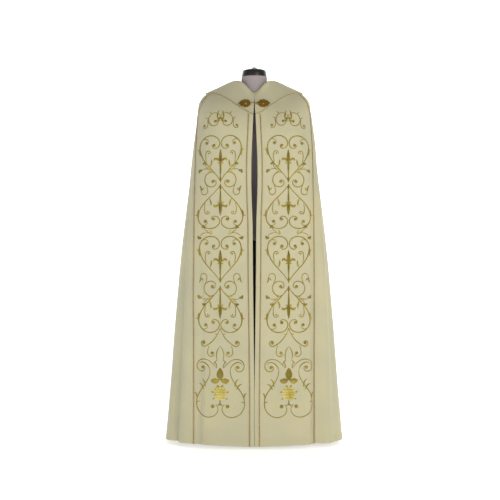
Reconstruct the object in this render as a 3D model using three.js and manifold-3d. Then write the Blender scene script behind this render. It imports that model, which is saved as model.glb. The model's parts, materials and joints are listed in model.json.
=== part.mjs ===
// A cope, the open-fronted church cloak, worn by a limbless dress form on a pole stand.
// Millimetres, +Z up. The front faces -Y and +X is on the viewer's right. The origin is on the floor, under the pole.
import * as THREE from "three";
import Module from "manifold-3d";
import { mergeVertices } from "three/addons/utils/BufferGeometryUtils.js";

const wasm = await Module();
wasm.setup();

// ---------------------------------------------------------------- driving dimensions
const CLOTH = 2.0; // lined cloth, outer face to inner face
const COLLAR_CLOTH = 2.4; // the collar is stiffened, so it is thicker
const COLLAR_LIFT = 0.8; // air between the cloak and the collar that lies on it
const SEAM = 0.3; // between two pieces at a seam
const EDGE_WIDTH = 18; // the plain strip along each front edge
const CORD_SHARE = 0.015; // the gold cord along the seams, as a share of the panel's width
const CORD_HEIGHT = 1.6;
const CORD_LIFT = 0.3;
const HEM_HEIGHT = 10; // hem above the floor
const COLLAR_RING = 3; // the ring of the cloak that the collar's outer edge follows
const PANEL_COLUMNS = 6;
const SIDE_COLUMNS = 30;

// The cloak is a stack of rings, from the neckline to the hem. Each ring is a superellipse in plan:
// half is its half width, front and back its reach from the axis, and power how square its front is.
// Its height runs from zFront over zSide to zBack, with rise as the sharpness of the climb at the front.
// gap is half the opening between the fronts, and seam the place across of the panel's outer seam.
const RINGS = [
  { half: 64, front: 62, back: 66, zFront: 1456, zSide: 1508, zBack: 1518, power: 2.2, rise: 1.7, gap: 0.5, seam: 58 },
  { half: 92, front: 84, back: 90, zFront: 1430, zSide: 1511, zBack: 1506, power: 1.35, rise: 1.5, gap: 0.5, seam: 83 },
  { half: 146, front: 108, back: 122, zFront: 1397, zSide: 1487, zBack: 1446, power: 1.2, rise: 1.4, gap: 1.5, seam: 132 },
  { half: 203, front: 128, back: 146, zFront: 1357, zSide: 1460, zBack: 1362, power: 1.25, rise: 1.4, gap: 4.5, seam: 186 },
  { half: 231, front: 138, back: 160, zFront: 1310, zSide: 1427, zBack: 1306, power: 1.6, rise: 1.4, gap: 6.5, seam: 216 },
  { half: 239, front: 145, back: 169, zFront: 1262, zSide: 1382, zBack: 1256, power: 2.1, rise: 1.3, gap: 8.5, seam: 232 },
  { half: 243, front: 149, back: 176, zFront: 1214, zSide: 1326, zBack: 1208, power: 2.5, rise: 1.2, gap: 10.5, seam: 239 },
  { half: 253, front: 153, back: 186, zFront: 1160, zSide: 1236, zBack: 1156, power: 3.0, rise: 1.1, gap: 12.5, seam: 244 },
  { half: 270, front: 158, back: 204, zFront: 1058, zSide: 1086, zBack: 1058, power: 3.5, rise: 1.0, gap: 12.5, seam: 247 },
  { half: 290, front: 167, back: 226, zFront: 904, zSide: 908, zBack: 904, power: 3.6, rise: 1.0, gap: 7.5, seam: 249 },
  { half: 308, front: 178, back: 250, zFront: 728, zSide: 728, zBack: 728, power: 3.5, rise: 1.0, gap: 6.3, seam: 250 },
  { half: 328, front: 196, back: 282, zFront: 480, zSide: 480, zBack: 480, power: 3.1, rise: 1.0, gap: 3.3, seam: 250 },
  { half: 346, front: 212, back: 310, zFront: 240, zSide: 242, zBack: 240, power: 2.8, rise: 1.0, gap: 0.6, seam: 250 },
  { half: 366, front: 226, back: 336, zFront: HEM_HEIGHT, zSide: 17, zBack: 14, power: 2.6, rise: 1.0, gap: 0.5, seam: 250 },
];
const BACK_POWER = 2.2;
const BACK_RISE = 1.6;

// The folds hang from where they start and deepen to the hem. at is the place round the cloth, 0 at the front
// panel's inner seam, 1 at its outer seam and 2 at the centre back. width is half the fold's reach in the same
// units, depth is how far it stands out at the hem (a trough is negative), and lean moves it along at the hem.
const FOLDS = {
  left: [
    { at: 0.93, width: 0.13, depth: -9, top: 820, lean: 0.0 },
    { at: 1.055, width: 0.05, depth: 6, top: 900, lean: 0.0 },
    { at: 1.06, width: 0.045, depth: -17, top: 1150, lean: 0.06 },
    { at: 1.2, width: 0.08, depth: 9, top: 1200, lean: 0.0 },
    { at: 1.33, width: 0.07, depth: -24, top: 1300, lean: 0.01 },
    { at: 1.43, width: 0.08, depth: 26, top: 1330, lean: 0.0 },
    { at: 1.53, width: 0.07, depth: -30, top: 1300, lean: -0.01 },
    { at: 1.63, width: 0.09, depth: 30, top: 1340, lean: 0.0 },
    { at: 1.74, width: 0.08, depth: -32, top: 1280, lean: 0.01 },
    { at: 1.85, width: 0.09, depth: 34, top: 1330, lean: 0.0 },
  ],
  right: [
    { at: 0.98, width: 0.1, depth: -15, top: 1420, lean: 0.0 },
    { at: 1.06, width: 0.06, depth: 12, top: 1400, lean: 0.01 },
    { at: 1.19, width: 0.11, depth: 7, top: 1180, lean: 0.0 },
    { at: 1.34, width: 0.08, depth: -26, top: 1280, lean: -0.01 },
    { at: 1.45, width: 0.09, depth: 28, top: 1330, lean: 0.01 },
    { at: 1.56, width: 0.07, depth: -28, top: 1300, lean: 0.0 },
    { at: 1.66, width: 0.08, depth: 31, top: 1340, lean: -0.01 },
    { at: 1.76, width: 0.08, depth: -33, top: 1290, lean: 0.0 },
    { at: 1.87, width: 0.08, depth: 30, top: 1320, lean: 0.0 },
  ],
  // The trough down the centre back, which both sides share.
  both: [{ at: 2.0, width: 0.1, depth: -24, top: 1240, lean: 0.0 }],
};

// ---------------------------------------------------------------- the cloak's surface
function ringAt(v) {
  const last = RINGS.length - 1;
  const i = Math.min(Math.floor(v), last - 1);
  const t = v - i;
  const [before, here, next, after] = [i - 1, i, i + 1, i + 2].map((k) => RINGS[Math.min(Math.max(k, 0), last)]);
  const ring = {};
  for (const key of Object.keys(here)) {
    const [p, q, r, s] = [before[key], here[key], next[key], after[key]];
    ring[key] = q + 0.5 * t * (r - p + t * (2 * p - 5 * q + 4 * r - s + t * (3 * (q - r) + s - p)));
  }
  return ring;
}

// A point in plan on the ring's front or back half, from its share of the half width.
function onRing(ring, share, atBack) {
  const power = atBack ? BACK_POWER : ring.power;
  const depth = Math.pow(Math.max(0, 1 - Math.pow(share, power)), 1 / power);
  const climb = Math.pow(Math.sin((share * Math.PI) / 2), atBack ? BACK_RISE : ring.rise);
  const low = atBack ? ring.zBack : ring.zFront;
  return {
    x: ring.half * share,
    y: atBack ? ring.back * depth : -ring.front * depth,
    z: low + (ring.zSide - low) * climb,
  };
}

// A point of the ring, from its turn round the axis: 0 at the centre front, 1 at the side, 2 at the centre back.
function atTurn(ring, turn) {
  const atBack = turn > 1;
  const power = atBack ? BACK_POWER : ring.power;
  const sine = Math.max(0, Math.sin((turn * Math.PI) / 2));
  return onRing(ring, Math.min(1, Math.pow(sine, 2 / power)), atBack);
}

const TURN_STEPS = 160;
const MOST_TURN = 2;

// The ring from the panel's outer seam to the centre back, cut into equal lengths.
function sideWalk(ring) {
  const share = ring.seam / ring.half;
  const firstTurn = (2 / Math.PI) * Math.asin(Math.pow(share, ring.power / 2));
  const points = [];
  const lengths = [0];
  for (let i = 0; i <= TURN_STEPS; i++) {
    points.push(atTurn(ring, firstTurn + ((MOST_TURN - firstTurn) * i) / TURN_STEPS));
    if (i) {
      const [a, b] = [points[i - 1], points[i]];
      lengths.push(lengths[i - 1] + Math.hypot(b.x - a.x, b.y - a.y));
    }
  }
  return (part) => {
    const target = Math.min(Math.max(part, 0), 1) * lengths[TURN_STEPS];
    let i = lengths.findIndex((length) => length >= target);
    i = Math.max(1, i);
    const t = (target - lengths[i - 1]) / (lengths[i] - lengths[i - 1]);
    const [a, b] = [points[i - 1], points[i]];
    return { x: a.x + (b.x - a.x) * t, y: a.y + (b.y - a.y) * t, z: a.z + (b.z - a.z) * t };
  };
}

function foldHeight(side, at, z) {
  let height = 0;
  for (const fold of [...FOLDS[side], ...FOLDS.both]) {
    const grown = Math.min(Math.max((fold.top - z) / (fold.top - HEM_HEIGHT), 0), 1);
    const away = Math.abs(at - fold.at - fold.lean * grown) / fold.width;
    if (away < 1) height += fold.depth * Math.pow(grown, 0.8) * Math.pow(Math.cos((away * Math.PI) / 2), 2);
  }
  return height;
}

// The cloth along one ring of one side: at runs from below 0 (the edge strip) over the panel (0 to 1) to the
// centre back (2). Returns a function of at that gives the point with its fold.
function clothRing(side, v) {
  const ring = ringAt(v);
  const walk = sideWalk(ring);
  const inner = ring.gap + EDGE_WIDTH;
  const flat = (at) => {
    if (at > 1) return walk(at - 1);
    const across = at < 0 ? inner + at * EDGE_WIDTH : inner + at * (ring.seam - inner);
    return onRing(ring, across / ring.half, false);
  };
  const step = 0.002;
  return (at) => {
    const point = flat(at);
    const [a, b] = [flat(Math.max(-1, at - step)), flat(Math.min(2, at + step))];
    const length = Math.hypot(b.x - a.x, b.y - a.y);
    const out = foldHeight(side, at, point.z) / length;
    const x = point.x + (b.y - a.y) * out;
    const y = point.y - (b.x - a.x) * out;
    return new THREE.Vector3(side === "left" ? -x : x, y, point.z);
  };
}

// A grid of surface points and outward normals, row by row from the neck down.
function clothGrid(side, ats, rows) {
  const near = 0.01;
  const last = RINGS.length - 1;
  return rows.map((v) => {
    const here = clothRing(side, v);
    const above = clothRing(side, Math.max(0, v - near));
    const below = clothRing(side, Math.min(last, v + near));
    return ats.map((at) => {
      const along = here(Math.min(2, at + near)).sub(here(Math.max(-1, at - near)));
      const down = below(at).sub(above(at));
      const normal = new THREE.Vector3().crossVectors(down, along).normalize();
      if (side === "left") normal.negate();
      return { point: here(at), normal };
    });
  });
}

const moved = ({ point, normal }, out) => point.clone().addScaledVector(normal, out);

// Draws a grid's first and last columns in by half a seam, so that neighbours stay apart.
function drawnIn(grid) {
  return grid.map((row) => {
    const last = row.length - 1;
    const pull = (edge, inside) => {
      const way = row[inside].point.clone().sub(row[edge].point).normalize();
      return { point: row[edge].point.clone().addScaledVector(way, SEAM / 2), normal: row[edge].normal };
    };
    return row.map((cell, i) => (i === 0 ? pull(0, 1) : i === last ? pull(last, last - 1) : cell));
  });
}

// ---------------------------------------------------------------- solids from points
// A closed wall between an outer and an inner grid of points, whose columns run clockwise seen from above.
function wall(outer, inner) {
  const rows = outer.length;
  const columns = outer[0].length;
  const positions = [...outer.flat(), ...inner.flat()].flatMap((p) => p.toArray());
  const index = [];
  const out = (r, c) => r * columns + c;
  const into = (r, c) => rows * columns + r * columns + c;
  const quad = (a, b, c, d) => index.push(a, b, c, a, c, d);
  for (let r = 0; r < rows - 1; r++) {
    for (let c = 0; c < columns - 1; c++) {
      quad(out(r, c), out(r + 1, c), out(r + 1, c + 1), out(r, c + 1));
      quad(into(r, c), into(r, c + 1), into(r + 1, c + 1), into(r + 1, c));
    }
    quad(out(r, 0), into(r, 0), into(r + 1, 0), out(r + 1, 0));
    quad(out(r, columns - 1), out(r + 1, columns - 1), into(r + 1, columns - 1), into(r, columns - 1));
  }
  for (let c = 0; c < columns - 1; c++) {
    quad(out(0, c), out(0, c + 1), into(0, c + 1), into(0, c));
    quad(out(rows - 1, c), into(rows - 1, c), into(rows - 1, c + 1), out(rows - 1, c + 1));
  }
  const geometry = new THREE.BufferGeometry();
  geometry.setAttribute("position", new THREE.Float32BufferAttribute(positions, 3));
  geometry.setIndex(index);
  geometry.computeVertexNormals();
  return geometry;
}

// A wall from a grid whose outer face is moved out by high and whose inner face by low.
function clothWall(grid, high, low) {
  return wall(
    grid.map((row) => row.map((cell) => moved(cell, high))),
    grid.map((row) => row.map((cell) => moved(cell, low))),
  );
}

// Grids of the left side run the other way round, so their columns are turned before a wall is made.
const turned = (grid) => grid.map((row) => [...row].reverse());
const sided = (side, grid) => (side === "left" ? turned(grid) : grid);

// ---------------------------------------------------------------- the cloth pieces
const steps = (from, to, count) => Array.from({ length: count + 1 }, (_, i) => from + ((to - from) * i) / count);
const COLLAR_CORD = COLLAR_RING - 0.045; // the upper edge of the cord round the collar
const CORD_START = COLLAR_RING + 0.09; // the panel's cords come out from under the collar here
const ROWS = [0, 1, 2, COLLAR_CORD, 3, CORD_START, 4, 5, 6, 7, 8, 8.5, 9, 9.5, 10, 10.5, 11, 11.5, 12, 12.5, 13];
const COLLAR_ROWS = ROWS.filter((v) => v <= COLLAR_RING);
const PANEL_ATS = [0, ...steps(CORD_SHARE, 1 - CORD_SHARE, PANEL_COLUMNS), 1];
const SIDE_ATS = steps(1, 2, SIDE_COLUMNS);
const SIDES = ["left", "right"];

function bodyPiece(side, ats) {
  return clothWall(sided(side, drawnIn(clothGrid(side, ats, ROWS))), 0, -CLOTH);
}

function collar() {
  const ats = [-1, ...PANEL_ATS, ...SIDE_ATS.slice(1)];
  const [left, right] = SIDES.map((side) => clothGrid(side, ats, COLLAR_ROWS));
  const grid = right.map((row, r) => [...row, ...[...left[r]].reverse().slice(1)]);
  return grid;
}

// A cord lies on one column of facets, down from the collar to the hem.
function panelCord(side, column) {
  const rows = ROWS.filter((v) => v >= CORD_START);
  const grid = drawnIn(clothGrid(side, PANEL_ATS, rows)).map((row) => row.slice(column, column + 2));
  return clothWall(sided(side, grid), CORD_LIFT + CORD_HEIGHT, CORD_LIFT);
}

// The collar's cord lies on its lowest row of facets.
function collarCord(grid) {
  const face = COLLAR_LIFT + COLLAR_CLOTH + CORD_LIFT;
  return clothWall(grid.slice(-2), face + CORD_HEIGHT, face);
}

// ---------------------------------------------------------------- the clasp
const CLASP_HEIGHT = 1405;
const CLASP_CENTRE = 36; // from the centre line to the middle of each plate
const CLASP_LENGTH = 50;
const CLASP_WIDTH = 40;
const CLASP_PLATE = 1.8;
const CLASP_STANDOFF = 4; // clears the collar's curve
const CLASP_SCALLOPS = 9;
const WIRE = 1.3; // radius of the hook's and the eye's wire
const EYE_RADIUS = 5.4;
const HOOK_BEND = 2.6;

function manifoldOf(geometry) {
  const bare = geometry.index ? geometry.toNonIndexed() : geometry.clone();
  const only = new THREE.BufferGeometry().setAttribute("position", bare.getAttribute("position"));
  const merged = mergeVertices(only, 1e-4);
  const mesh = new wasm.Mesh({
    numProp: 3,
    vertProperties: merged.attributes.position.array,
    triVerts: new Uint32Array(merged.index.array),
  });
  return new wasm.Manifold(mesh);
}

function geometryOf(manifold) {
  const mesh = manifold.getMesh();
  const geometry = new THREE.BufferGeometry();
  geometry.setAttribute("position", new THREE.Float32BufferAttribute(mesh.vertProperties, 3));
  geometry.setIndex(new THREE.Uint32BufferAttribute(mesh.triVerts, 1));
  return geometry.toNonIndexed();
}

const joined = (geometries) => geometries.map(manifoldOf).reduce((all, one) => all.add(one));

// A scalloped leaf with its point outwards, along +X, in the plane Z = 0.
function leafOutline() {
  const count = CLASP_SCALLOPS * 4;
  const shape = new THREE.Shape();
  for (let i = 0; i < count; i++) {
    const turn = (2 * Math.PI * i) / count;
    const scallop = 0.95 + 0.05 * Math.cos(CLASP_SCALLOPS * turn);
    const tip = 0.3 * Math.pow(Math.max(0, Math.cos(turn)), 6);
    const x = (CLASP_LENGTH / 2) * (0.86 * Math.cos(turn) * scallop + tip);
    const y = (CLASP_WIDTH / 2) * Math.sin(turn) * scallop;
    shape[i ? "lineTo" : "moveTo"](x, y);
  }
  shape.closePath();
  return shape;
}

// A plate with its dome and its ring of beads, still as loose bodies that overlap.
function claspPlate() {
  const plate = new THREE.ExtrudeGeometry(leafOutline(), { depth: CLASP_PLATE, bevelEnabled: false });
  const dome = new THREE.SphereGeometry(7, 16, 8).scale(1, 1, 0.55).translate(0, 0, CLASP_PLATE);
  const beads = steps(0, 1, 7).slice(1).map((share) => {
    const turn = share * 2 * Math.PI;
    return new THREE.SphereGeometry(2.6, 8, 6).translate(12.5 * Math.cos(turn), 12.5 * Math.sin(turn), CLASP_PLATE);
  });
  return [plate, dome, ...beads];
}

// Round wire along a list of corners, joined by balls of its own radius.
function wirePath(corners) {
  const points = corners.map((corner) => new THREE.Vector3(...corner));
  const balls = points.map(({ x, y, z }) => new THREE.SphereGeometry(WIRE, 8, 6).translate(x, y, z));
  const rods = points.slice(1).map((end, i) => {
    const way = end.clone().sub(points[i]);
    const rod = new THREE.CylinderGeometry(WIRE, WIRE, way.length(), 8);
    const turn = new THREE.Quaternion().setFromUnitVectors(new THREE.Vector3(0, 1, 0), way.clone().normalize());
    const middle = points[i].clone().addScaledVector(way, 0.5);
    return rod.applyQuaternion(turn).translate(middle.x, middle.y, middle.z);
  });
  return [...balls, ...rods];
}

// The clasp's own frame: X across, Y up the cloth, Z out of it, with the origin on the centre line.
const EYE_CENTRE = CLASP_CENTRE - 0.42 * CLASP_LENGTH - EYE_RADIUS + 1.2;

function claspRight() {
  const plate = claspPlate().map((geometry) => geometry.translate(CLASP_CENTRE, 0, 0));
  const eye = new THREE.TorusGeometry(EYE_RADIUS, WIRE, 8, 24).translate(EYE_CENTRE, 0, WIRE);
  return joined([...plate, eye]);
}

function claspLeft() {
  const plate = claspPlate().map((geometry) => geometry.rotateZ(Math.PI).translate(-CLASP_CENTRE, 0, 0));
  const over = 3 * WIRE + SEAM + 0.1; // over the eye's wire
  const bend = steps(0, 90, 4).map((degrees) => {
    const turn = THREE.MathUtils.degToRad(degrees);
    return [EYE_CENTRE - HOOK_BEND + HOOK_BEND * Math.sin(turn), 0, over - HOOK_BEND * (1 - Math.cos(turn))];
  });
  const start = -CLASP_CENTRE + 0.3 * CLASP_LENGTH;
  const corners = [[start, 0, CLASP_PLATE + 0.5], [start + 7, 0, over], ...bend, [EYE_CENTRE, 0, WIRE - 0.6]];
  return joined([...plate, ...wirePath(corners)]);
}

// ---------------------------------------------------------------- the dress form
// Level sections of the covered torso and neck, from the hips up. Each is a superellipse.
const FORM_SECTIONS = [
  { z: 842, half: 150, depth: 100, power: 2.3 },
  { z: 850, half: 158, depth: 108, power: 2.3 },
  { z: 930, half: 166, depth: 114, power: 2.3 },
  { z: 1060, half: 142, depth: 98, power: 2.2 },
  { z: 1180, half: 160, depth: 108, power: 2.3 },
  { z: 1270, half: 178, depth: 112, power: 2.4 },
  { z: 1340, half: 192, depth: 98, power: 2.4 },
  { z: 1385, half: 194, depth: 84, power: 2.4 },
  { z: 1415, half: 180, depth: 71, power: 2.3 },
  { z: 1438, half: 150, depth: 61, power: 2.2 },
  { z: 1458, half: 110, depth: 55, power: 2.1 },
  { z: 1474, half: 78, depth: 52.5, power: 2.0 },
  { z: 1490, half: 60, depth: 52, power: 2.0 },
  { z: 1506, half: 55, depth: 52, power: 2.0 },
  { z: 1533, half: 53.5, depth: 52, power: 2.0 },
];
const FORM_SIDES = 36;
const FORM_BACK_SHIFT = 8; // the torso sits a little behind the neck's axis
const NECK_START = 1458;

function formBody() {
  const positions = [];
  const index = [];
  for (const { z, half, depth, power } of FORM_SECTIONS) {
    const shift = FORM_BACK_SHIFT * THREE.MathUtils.smoothstep(NECK_START - z, 0, 120);
    for (let i = 0; i < FORM_SIDES; i++) {
      const turn = (2 * Math.PI * i) / FORM_SIDES;
      const across = Math.sign(Math.cos(turn)) * Math.pow(Math.abs(Math.cos(turn)), 2 / power);
      const deep = Math.sign(Math.sin(turn)) * Math.pow(Math.abs(Math.sin(turn)), 2 / power);
      positions.push(half * across, shift + depth * deep, z);
    }
  }
  const last = (FORM_SECTIONS.length - 1) * FORM_SIDES;
  for (let ring = 0; ring < last; ring += FORM_SIDES) {
    for (let i = 0; i < FORM_SIDES; i++) {
      const next = (i + 1) % FORM_SIDES;
      const [a, b, c, d] = [ring + i, ring + next, ring + FORM_SIDES + next, ring + FORM_SIDES + i];
      index.push(a, b, c, a, c, d);
    }
  }
  for (let i = 1; i < FORM_SIDES - 1; i++) {
    index.push(0, i + 1, i);
    index.push(last, last + i, last + i + 1);
  }
  const geometry = new THREE.BufferGeometry();
  geometry.setAttribute("position", new THREE.Float32BufferAttribute(positions, 3));
  geometry.setIndex(index);
  geometry.computeVertexNormals();
  return geometry;
}

// A solid of revolution about Z, from pairs of radius and height going up the outside.
function lathe(profile, sides) {
  const points = profile.map(([radius, height]) => new THREE.Vector2(radius, height));
  return new THREE.LatheGeometry(points, sides).rotateX(Math.PI / 2);
}

const NECK_TOP = FORM_SECTIONS[FORM_SECTIONS.length - 1].z;
const CAP_RADIUS = 53;
const POLE_RADIUS = 12.5;
const BASE_RADIUS = 150;
const BASE_THICKNESS = 8;
const HUB_RADIUS = 22;
const HUB_HEIGHT = 60;

function neckCap() {
  const foot = NECK_TOP + SEAM;
  return lathe(
    [
      [0, foot],
      [CAP_RADIUS, foot],
      [CAP_RADIUS, foot + 3],
      [CAP_RADIUS - 3, foot + 24],
      [CAP_RADIUS - 7, foot + 28],
      [24, foot + 31],
      [15, foot + 35],
      [9, foot + 39.5],
      [4, foot + 42],
      [0, foot + 42.7],
    ],
    32,
  );
}

function standBase() {
  const socket = POLE_RADIUS + SEAM;
  return lathe(
    [
      [0, 0],
      [BASE_RADIUS, 0],
      [BASE_RADIUS, BASE_THICKNESS - 3],
      [BASE_RADIUS - 4, BASE_THICKNESS],
      [HUB_RADIUS, BASE_THICKNESS],
      [HUB_RADIUS, HUB_HEIGHT],
      [socket, HUB_HEIGHT],
      [socket, BASE_THICKNESS],
      [0, BASE_THICKNESS],
    ],
    48,
  );
}

function standPole() {
  const foot = BASE_THICKNESS + SEAM;
  const top = FORM_SECTIONS[0].z - SEAM;
  return lathe(
    [
      [0, foot],
      [POLE_RADIUS, foot],
      [POLE_RADIUS, top],
      [0, top],
    ],
    24,
  );
}

// ---------------------------------------------------------------- assembly
const MATERIALS = {
  cloth: new THREE.MeshStandardMaterial({ color: 0xd9d6c0, roughness: 0.85, metalness: 0 }),
  gold: new THREE.MeshStandardMaterial({ color: 0xa98d4a, roughness: 0.5, metalness: 0.3 }),
  brass: new THREE.MeshStandardMaterial({ color: 0xb08d3e, roughness: 0.35, metalness: 0.9 }),
  linen: new THREE.MeshStandardMaterial({ color: 0xc9c0c2, roughness: 0.9, metalness: 0 }),
  black: new THREE.MeshStandardMaterial({ color: 0x141216, roughness: 0.45, metalness: 0 }),
  steel: new THREE.MeshStandardMaterial({ color: 0x1a1a1c, roughness: 0.4, metalness: 0.6 }),
};

const cope = new THREE.Group();

function add(name, geometry, material, parent = cope) {
  const mesh = new THREE.Mesh(geometry, MATERIALS[material]);
  mesh.name = name;
  parent.add(mesh);
  return mesh;
}

for (const side of SIDES) {
  add(`front_edge_${side}`, bodyPiece(side, [-1, 0]), "cloth");
  add(`front_panel_${side}`, bodyPiece(side, PANEL_ATS), "cloth");
  add(`cloak_${side}`, bodyPiece(side, SIDE_ATS), "cloth");
  add(`inner_cord_${side}`, panelCord(side, 0), "gold");
  add(`outer_cord_${side}`, panelCord(side, PANEL_ATS.length - 2), "gold");
}

const collarGrid = collar();
add("collar", clothWall(collarGrid, COLLAR_LIFT + COLLAR_CLOTH, COLLAR_LIFT), "cloth");
add("collar_cord", collarCord(collarGrid), "gold");

// The place on the cloak's front face that has a given place across and height.
function frontPlace(side, across, height) {
  let best = null;
  for (const v of steps(0, 4, 160)) {
    const ring = ringAt(v);
    const inner = ring.gap + EDGE_WIDTH;
    const at = across < inner ? (across - inner) / EDGE_WIDTH : (across - inner) / (ring.seam - inner);
    const [[cell]] = clothGrid(side, [at], [v]);
    const miss = Math.abs(cell.point.z - height);
    if (!best || miss < best.miss) best = { ...cell, miss };
  }
  return best;
}

// Both halves of the clasp lie in one plane in front of the collar, hooked together on the centre line.
const claspPlace = frontPlace("right", CLASP_CENTRE, CLASP_HEIGHT);
const claspOut = claspPlace.normal.clone().setX(0).normalize();
const claspAcross = new THREE.Vector3(1, 0, 0);
const claspUp = new THREE.Vector3().crossVectors(claspOut, claspAcross);
const claspSeat = new THREE.Group();
claspSeat.position.copy(claspPlace.point).setX(0);
claspSeat.position.addScaledVector(claspOut, COLLAR_LIFT + COLLAR_CLOTH + CLASP_STANDOFF);
claspSeat.setRotationFromMatrix(new THREE.Matrix4().makeBasis(claspAcross, claspUp, claspOut));
cope.add(claspSeat);
add("clasp_left", geometryOf(claspLeft()), "brass", claspSeat);
add("clasp_right", geometryOf(claspRight()), "brass", claspSeat);

add("form_body", formBody(), "linen");
add("neck_cap", neckCap(), "black");
add("stand_pole", standPole(), "steel");
add("stand_base", standBase(), "steel");

export default cope;
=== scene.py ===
import json
import math

import bpy
import numpy as np
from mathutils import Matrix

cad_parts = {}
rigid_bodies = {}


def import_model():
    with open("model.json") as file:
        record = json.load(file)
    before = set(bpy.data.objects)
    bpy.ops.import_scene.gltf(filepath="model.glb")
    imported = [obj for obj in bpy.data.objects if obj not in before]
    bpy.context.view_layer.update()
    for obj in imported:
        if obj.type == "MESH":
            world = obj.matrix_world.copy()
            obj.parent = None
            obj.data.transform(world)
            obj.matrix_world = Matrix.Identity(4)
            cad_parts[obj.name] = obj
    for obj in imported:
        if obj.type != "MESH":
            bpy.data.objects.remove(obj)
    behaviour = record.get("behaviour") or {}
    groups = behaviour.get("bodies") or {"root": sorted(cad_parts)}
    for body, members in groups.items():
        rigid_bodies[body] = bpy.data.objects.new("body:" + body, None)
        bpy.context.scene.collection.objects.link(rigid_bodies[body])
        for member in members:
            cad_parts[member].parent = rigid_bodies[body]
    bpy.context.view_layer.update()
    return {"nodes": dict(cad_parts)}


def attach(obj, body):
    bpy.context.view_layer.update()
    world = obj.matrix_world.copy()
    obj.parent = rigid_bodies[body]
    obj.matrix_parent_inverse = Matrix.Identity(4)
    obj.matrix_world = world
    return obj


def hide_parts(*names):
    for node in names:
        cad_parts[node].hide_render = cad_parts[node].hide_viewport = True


# %% [markdown]
# # A cope on a dress form
# A cope is a church cloak, cut as half a circle, open down the front and held by a clasp.
# This lesson drapes one over a tailor's dress form. The frame brings the plain solids, and every
# piece of cloth is made again here as a thin fine shell, because folds and seams need more points.

# %% Load the frame
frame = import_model()

# %% [markdown]
# ## Sizes
# The sizes are in millimetres, and one factor turns them to metres at the end. The cloak is a stack of
# rings from the neck to the hem, each a superellipse in plan. Half a ring's width, its reach to the
# front and back, and its heights are enough to describe how the cloth stands away from the body.

# %% The rings and the folds
MM = 0.001
CLOTH = 2.0
COLLAR_CLOTH = 2.4
COLLAR_LIFT = 0.8
SEAM = 0.3
EDGE_WIDTH = 18
HEM_HEIGHT = 10
COLLAR_RING = 3
COLUMNS = ("half", "front", "back", "z_front", "z_side", "z_back", "power", "rise", "gap", "seam")
RINGS = np.array([
    (64, 62, 66, 1456, 1508, 1518, 2.2, 1.7, 0.5, 58),
    (92, 84, 90, 1430, 1511, 1506, 1.35, 1.5, 0.5, 83),
    (146, 108, 122, 1397, 1487, 1446, 1.2, 1.4, 1.5, 132),
    (203, 128, 146, 1357, 1460, 1362, 1.25, 1.4, 4.5, 186),
    (231, 138, 160, 1310, 1427, 1306, 1.6, 1.4, 6.5, 216),
    (239, 145, 169, 1262, 1382, 1256, 2.1, 1.3, 8.5, 232),
    (243, 149, 176, 1214, 1326, 1208, 2.5, 1.2, 10.5, 239),
    (253, 153, 186, 1160, 1236, 1156, 3.0, 1.1, 12.5, 244),
    (270, 158, 204, 1058, 1086, 1058, 3.5, 1.0, 12.5, 247),
    (290, 167, 226, 904, 908, 904, 3.6, 1.0, 7.5, 249),
    (308, 178, 250, 728, 728, 728, 3.5, 1.0, 6.3, 250),
    (328, 196, 282, 480, 480, 480, 3.1, 1.0, 3.3, 250),
    (346, 212, 310, 240, 242, 240, 2.8, 1.0, 0.6, 250),
    (366, 226, 336, HEM_HEIGHT, 17, 14, 2.6, 1.0, 0.5, 250),
])
BACK_POWER, BACK_RISE = 2.2, 1.6
LAST_RING = len(RINGS) - 1

# at is the place round the cloth: 0 at the band's inner seam, 1 at its outer seam, 2 at the centre back.
FOLDS = {
    "left": [
        dict(at=0.93, width=0.13, depth=-9, top=820, lean=0.0),
        dict(at=1.055, width=0.05, depth=6, top=900, lean=0.0),
        dict(at=1.06, width=0.045, depth=-17, top=1150, lean=0.06),
        dict(at=1.2, width=0.08, depth=9, top=1200, lean=0.0),
        dict(at=1.33, width=0.07, depth=-24, top=1300, lean=0.01),
        dict(at=1.43, width=0.08, depth=26, top=1330, lean=0.0),
        dict(at=1.53, width=0.07, depth=-30, top=1300, lean=-0.01),
        dict(at=1.63, width=0.09, depth=30, top=1340, lean=0.0),
        dict(at=1.74, width=0.08, depth=-32, top=1280, lean=0.01),
        dict(at=1.85, width=0.09, depth=34, top=1330, lean=0.0),
    ],
    "right": [
        dict(at=0.98, width=0.1, depth=-15, top=1420, lean=0.0),
        dict(at=1.06, width=0.06, depth=12, top=1400, lean=0.01),
        dict(at=1.19, width=0.11, depth=7, top=1180, lean=0.0),
        dict(at=1.34, width=0.08, depth=-26, top=1280, lean=-0.01),
        dict(at=1.45, width=0.09, depth=28, top=1330, lean=0.01),
        dict(at=1.56, width=0.07, depth=-28, top=1300, lean=0.0),
        dict(at=1.66, width=0.08, depth=31, top=1340, lean=-0.01),
        dict(at=1.76, width=0.08, depth=-33, top=1290, lean=0.0),
        dict(at=1.87, width=0.08, depth=30, top=1320, lean=0.0),
    ],
    "both": [dict(at=2.0, width=0.1, depth=-24, top=1240, lean=0.0)],
}
SIDES = {"left": -1, "right": 1}
print(len(RINGS), "rings, from", RINGS[0, 3], "mm down to", HEM_HEIGHT, "mm")
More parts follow.
